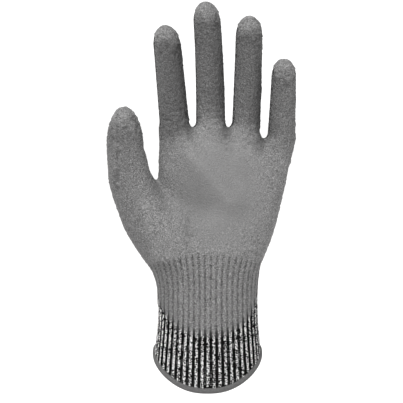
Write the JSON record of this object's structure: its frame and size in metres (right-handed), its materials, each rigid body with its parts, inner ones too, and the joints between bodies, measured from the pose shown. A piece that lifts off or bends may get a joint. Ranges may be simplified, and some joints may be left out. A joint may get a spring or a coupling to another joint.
{
  "type": "cut resistant glove",
  "caption": "Knitted cut resistant work glove for the left hand, with a grey dipped palm and fingers, a ribbed wrist cuff and an overlocked hem.",
  "frame": {"origin": "centre of the hand opening, level with the cuff's rim at its sides", "axes": "+Z from the hand opening to the fingertips, -Y out of the palm side, -X towards the thumb"},
  "size_m": [0.1251, 0.0546, 0.2588],
  "materials": {
    "knit": "black and white melange yarn, matte, ribbed at the cuff",
    "coating": "thin matte polyurethane dip with a fine pebbled surface",
    "hem_thread": "matte grey overlock thread",
    "elastic": "thin covered elastic yarn"
  },
  "bodies": {
    "cuff": {"cuff": "knit", "cuff_coating": "coating", "elastic_yarns": "elastic", "hem_band": "hem_thread", "wrist_fold": "knit"},
    "lower_palm": {"lower_palm": "knit", "lower_palm_coating": "coating", "knuckle_fold": "knit", "thumb_base_fold": "knit"},
    "upper_palm": {"upper_palm": "knit", "upper_palm_coating": "coating", "index_base_fold": "knit", "middle_base_fold": "knit", "ring_base_fold": "knit", "little_base_fold": "knit"},
    "index_proximal": {"index_proximal": "knit", "index_proximal_coating": "coating", "index_mid_fold": "knit"},
    "index_medial": {"index_medial": "knit", "index_medial_coating": "coating", "index_tip_fold": "knit"},
    "index_distal": {"index_distal": "knit", "index_distal_coating": "coating"},
    "middle_proximal": {"middle_proximal": "knit", "middle_proximal_coating": "coating", "middle_mid_fold": "knit"},
    "middle_medial": {"middle_medial": "knit", "middle_medial_coating": "coating", "middle_tip_fold": "knit"},
    "middle_distal": {"middle_distal": "knit", "middle_distal_coating": "coating"},
    "ring_proximal": {"ring_proximal": "knit", "ring_proximal_coating": "coating", "ring_mid_fold": "knit"},
    "ring_medial": {"ring_medial": "knit", "ring_medial_coating": "coating", "ring_tip_fold": "knit"},
    "ring_distal": {"ring_distal": "knit", "ring_distal_coating": "coating"},
    "little_proximal": {"little_proximal": "knit", "little_proximal_coating": "coating", "little_mid_fold": "knit"},
    "little_medial": {"little_medial": "knit", "little_medial_coating": "coating", "little_tip_fold": "knit"},
    "little_distal": {"little_distal": "knit", "little_distal_coating": "coating"},
    "thumb_proximal": {"thumb_proximal": "knit", "thumb_proximal_coating": "coating", "thumb_tip_fold": "knit"},
    "thumb_distal": {"thumb_distal": "knit", "thumb_distal_coating": "coating"}
  },
  "joints": [
    {"name": "wrist_flex", "type": "hinge", "parent": "cuff", "child": "lower_palm", "pos_m": [0, 0, 0.042], "axis": [1, 0, 0], "range_deg": [-35, 35], "stiffness_Nm_per_rad": 0.15, "deforming": ["wrist_fold"]},
    {"name": "knuckle_flex", "type": "hinge", "parent": "lower_palm", "child": "upper_palm", "pos_m": [0.011, 0, 0.131], "axis": [1, 0, 0], "range_deg": [-10, 50], "stiffness_Nm_per_rad": 0.06, "deforming": ["knuckle_fold"]},
    {"name": "index_base_flex", "type": "hinge", "parent": "upper_palm", "child": "index_proximal", "pos_m": [-0.02249, -0.00009, 0.15978], "axis": [1, 0, 0], "range_deg": [-10, 40], "stiffness_Nm_per_rad": 0.012, "deforming": ["index_base_fold"]},
    {"name": "index_mid_flex", "type": "hinge", "parent": "index_proximal", "child": "index_medial", "pos_m": [-0.02414, -0.00127, 0.17876], "axis": [1, 0, 0], "range_deg": [-5, 80], "stiffness_Nm_per_rad": 0.008, "deforming": ["index_mid_fold"]},
    {"name": "index_tip_flex", "type": "hinge", "parent": "index_medial", "child": "index_distal", "pos_m": [-0.02597, -0.0042, 0.19978], "axis": [1, 0, 0], "range_deg": [-3, 48], "stiffness_Nm_per_rad": 0.004, "deforming": ["index_tip_fold"]},
    {"name": "middle_base_flex", "type": "hinge", "parent": "upper_palm", "child": "middle_proximal", "pos_m": [0.00167, -0.00011, 0.1613], "axis": [1, 0, 0], "range_deg": [-10, 40], "stiffness_Nm_per_rad": 0.012, "deforming": ["middle_base_fold"]},
    {"name": "middle_mid_flex", "type": "hinge", "parent": "middle_proximal", "child": "middle_medial", "pos_m": [0.00121, -0.00156, 0.18454], "axis": [1, 0, 0], "range_deg": [-5, 80], "stiffness_Nm_per_rad": 0.008, "deforming": ["middle_mid_fold"]},
    {"name": "middle_tip_flex", "type": "hinge", "parent": "middle_medial", "child": "middle_distal", "pos_m": [0.00008, -0.00514, 0.21027], "axis": [1, 0, 0], "range_deg": [-3, 48], "stiffness_Nm_per_rad": 0.004, "deforming": ["middle_tip_fold"]},
    {"name": "ring_base_flex", "type": "hinge", "parent": "upper_palm", "child": "ring_proximal", "pos_m": [0.02576, -0.0001, 0.16038], "axis": [1, 0, 0], "range_deg": [-10, 40], "stiffness_Nm_per_rad": 0.012, "deforming": ["ring_base_fold"]},
    {"name": "ring_mid_flex", "type": "hinge", "parent": "ring_proximal", "child": "ring_medial", "pos_m": [0.02639, -0.00138, 0.18104], "axis": [1, 0, 0], "range_deg": [-5, 80], "stiffness_Nm_per_rad": 0.008, "deforming": ["ring_mid_fold"]},
    {"name": "ring_tip_flex", "type": "hinge", "parent": "ring_medial", "child": "ring_distal", "pos_m": [0.02689, -0.00457, 0.20392], "axis": [1, 0, 0], "range_deg": [-3, 48], "stiffness_Nm_per_rad": 0.004, "deforming": ["ring_tip_fold"]},
    {"name": "little_base_flex", "type": "hinge", "parent": "upper_palm", "child": "little_proximal", "pos_m": [0.04895, -0.00007, 0.1504], "axis": [1, 0, 0], "range_deg": [-10, 40], "stiffness_Nm_per_rad": 0.012, "deforming": ["little_base_fold"]},
    {"name": "little_mid_flex", "type": "hinge", "parent": "little_proximal", "child": "little_medial", "pos_m": [0.0495, -0.00101, 0.16552], "axis": [1, 0, 0], "range_deg": [-5, 80], "stiffness_Nm_per_rad": 0.008, "deforming": ["little_mid_fold"]},
    {"name": "little_tip_flex", "type": "hinge", "parent": "little_medial", "child": "little_distal", "pos_m": [0.04988, -0.00334, 0.18226], "axis": [1, 0, 0], "range_deg": [-3, 48], "stiffness_Nm_per_rad": 0.004, "deforming": ["little_tip_fold"]},
    {"name": "thumb_base_flex", "type": "hinge", "parent": "lower_palm", "child": "thumb_proximal", "pos_m": [-0.0518, -0.0082, 0.126], "axis": [1, 0, 0], "range_deg": [-10, 35], "stiffness_Nm_per_rad": 0.015, "deforming": ["thumb_base_fold"]},
    {"name": "thumb_tip_flex", "type": "hinge", "parent": "thumb_proximal", "child": "thumb_distal", "pos_m": [-0.0544, -0.0096, 0.144], "axis": [1, 0, 0], "range_deg": [-5, 55], "stiffness_Nm_per_rad": 0.008, "deforming": ["thumb_tip_fold"]}
  ],
  "couplings": [
    {"joint": "index_tip_flex", "follows": "index_mid_flex", "ratio": 0.6},
    {"joint": "middle_tip_flex", "follows": "middle_mid_flex", "ratio": 0.6},
    {"joint": "ring_tip_flex", "follows": "ring_mid_flex", "ratio": 0.6},
    {"joint": "little_tip_flex", "follows": "little_mid_flex", "ratio": 0.6}
  ]
}
